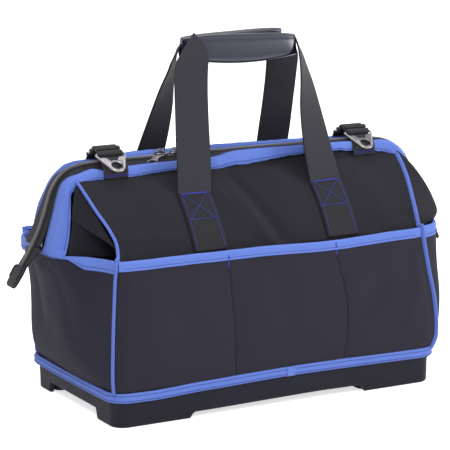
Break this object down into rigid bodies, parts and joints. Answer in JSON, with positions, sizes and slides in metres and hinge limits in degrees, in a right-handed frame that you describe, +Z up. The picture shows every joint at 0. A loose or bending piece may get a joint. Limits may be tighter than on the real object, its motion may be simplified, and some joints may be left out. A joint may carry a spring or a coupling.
{
  "type": "rigging bag",
  "caption": "Wide-mouth rigging bag with a moulded tray base, outer pockets, steel-framed zip mouth, twin webbing handles and strap rings.",
  "frame": {"origin": "on the floor under the middle of the bag", "axes": "+X along the zip to the right as seen from the front, -Y towards the pictured front, +Z up"},
  "size_m": [0.6274, 0.24, 0.462],
  "materials": {
    "cloth": "woven ballistic nylon, matt",
    "binding": "woven nylon binding tape, slight sheen",
    "webbing": "flat woven webbing",
    "tray": "moulded, fine satin texture",
    "board": "plain stiffener board",
    "steel": "plated steel",
    "zip": "woven tape with moulded teeth",
    "cap": "soft moulded rubber",
    "grip": "glossy coated cover over foam"
  },
  "bodies": {
    "shell": {"base_tray": "tray", "floor_board": "board", "base_binding": "binding", "front_wall": "cloth", "front_pocket": "cloth", "front_rim_binding": "binding", "back_wall": "cloth", "back_pocket": "cloth", "back_rim_binding": "binding", "left_wall": "cloth", "left_pocket": "cloth", "left_rim_binding": "binding", "right_wall": "cloth", "right_pocket": "cloth", "right_rim_binding": "binding", "corner_piping_front_left": "binding", "corner_piping_front_right": "binding", "corner_piping_back_left": "binding", "corner_piping_back_right": "binding", "hinge_plate_left": "steel", "zip_end_left": "zip", "hinge_plate_right": "steel", "zip_end_right": "zip"},
    "mouth_front": {"frame_front": "steel", "casing_front": "binding", "zip_half_front": "zip", "upper_panel_front": "cloth", "handle_anchor_front_left": "webbing", "handle_anchor_front_right": "webbing", "gusset_front_left": "cloth", "gusset_front_right": "cloth", "ring_tab_front_left": "webbing", "ring_tab_front_right": "webbing"},
    "handle_front": {"handle_front": "webbing", "grip_front": "grip"},
    "ring_front_left": {"ring_front_left": "steel"},
    "ring_front_right": {"ring_front_right": "steel"},
    "mouth_back": {"frame_back": "steel", "casing_back": "binding", "zip_half_back": "zip", "upper_panel_back": "cloth", "handle_anchor_back_left": "webbing", "handle_anchor_back_right": "webbing", "gusset_back_left": "cloth", "gusset_back_right": "cloth", "ring_tab_back_left": "webbing", "ring_tab_back_right": "webbing"},
    "handle_back": {"handle_back": "webbing", "grip_back": "grip"},
    "ring_back_left": {"ring_back_left": "steel"},
    "ring_back_right": {"ring_back_right": "steel"},
    "slider_left": {"slider_left": "steel"},
    "pull_left": {"pull_left": "steel"},
    "slider_right": {"slider_right": "steel"},
    "pull_right": {"pull_right": "steel"},
    "zip_tail_left": {"zip_tail_left": "zip", "zip_cap_left": "cap"},
    "zip_tail_right": {"zip_tail_right": "zip", "zip_cap_right": "cap"}
  },
  "joints": [
    {"name": "mouth_front_open", "type": "hinge", "parent": "shell", "child": "mouth_front", "pos_m": [0, -0.018, 0.196], "axis": [1, 0, 0], "range_deg": [0, 45], "deforming": ["upper_panel_front", "gusset_front_left", "gusset_front_right", "handle_anchor_front_left", "handle_anchor_front_right"]},
    {"name": "handle_front_swing", "type": "hinge", "parent": "mouth_front", "child": "handle_front", "pos_m": [0, -0.0604, 0.26956], "axis": [-1, 0, 0], "range_deg": [-132, 2.5]},
    {"name": "ring_front_left_lift", "type": "hinge", "parent": "mouth_front", "child": "ring_front_left", "pos_m": [-0.178, -0.012, 0.3217], "axis": [-1, 0, 0], "range_deg": [0, 105]},
    {"name": "ring_front_right_lift", "type": "hinge", "parent": "mouth_front", "child": "ring_front_right", "pos_m": [0.178, -0.012, 0.3217], "axis": [-1, 0, 0], "range_deg": [0, 105]},
    {"name": "mouth_back_open", "type": "hinge", "parent": "shell", "child": "mouth_back", "pos_m": [0, 0.018, 0.196], "axis": [-1, 0, 0], "range_deg": [0, 45], "deforming": ["upper_panel_back", "gusset_back_left", "gusset_back_right", "handle_anchor_back_left", "handle_anchor_back_right"]},
    {"name": "handle_back_swing", "type": "hinge", "parent": "mouth_back", "child": "handle_back", "pos_m": [0, 0.0604, 0.26956], "axis": [1, 0, 0], "range_deg": [-132, 2.5]},
    {"name": "ring_back_left_lift", "type": "hinge", "parent": "mouth_back", "child": "ring_back_left", "pos_m": [-0.178, 0.012, 0.3217], "axis": [1, 0, 0], "range_deg": [0, 105]},
    {"name": "ring_back_right_lift", "type": "hinge", "parent": "mouth_back", "child": "ring_back_right", "pos_m": [0.178, 0.012, 0.3217], "axis": [1, 0, 0], "range_deg": [0, 105]},
    {"name": "slider_left_run", "type": "slide", "parent": "mouth_front", "child": "slider_left", "axis": [-1, 0, 0], "range_m": [0, 0.034]},
    {"name": "pull_left_lift", "type": "hinge", "parent": "slider_left", "child": "pull_left", "pos_m": [-0.102, 0, 0.3204], "axis": [-0.766, 0.6428, 0], "range_deg": [0, 100]},
    {"name": "slider_right_run", "type": "slide", "parent": "mouth_front", "child": "slider_right", "axis": [1, 0, 0], "range_m": [0, 0.265]},
    {"name": "pull_right_lift", "type": "hinge", "parent": "slider_right", "child": "pull_right", "pos_m": [-0.082, 0, 0.3204], "axis": [0, -1, 0], "range_deg": [0, 100]},
    {"name": "zip_tail_left_swing", "type": "hinge", "parent": "shell", "child": "zip_tail_left", "pos_m": [-0.27704, 0, 0.21471], "axis": [0, 1, 0], "range_deg": [-25, 100]},
    {"name": "zip_tail_right_swing", "type": "hinge", "parent": "shell", "child": "zip_tail_right", "pos_m": [0.27704, 0, 0.21471], "axis": [0, -1, 0], "range_deg": [-25, 100]}
  ]
}
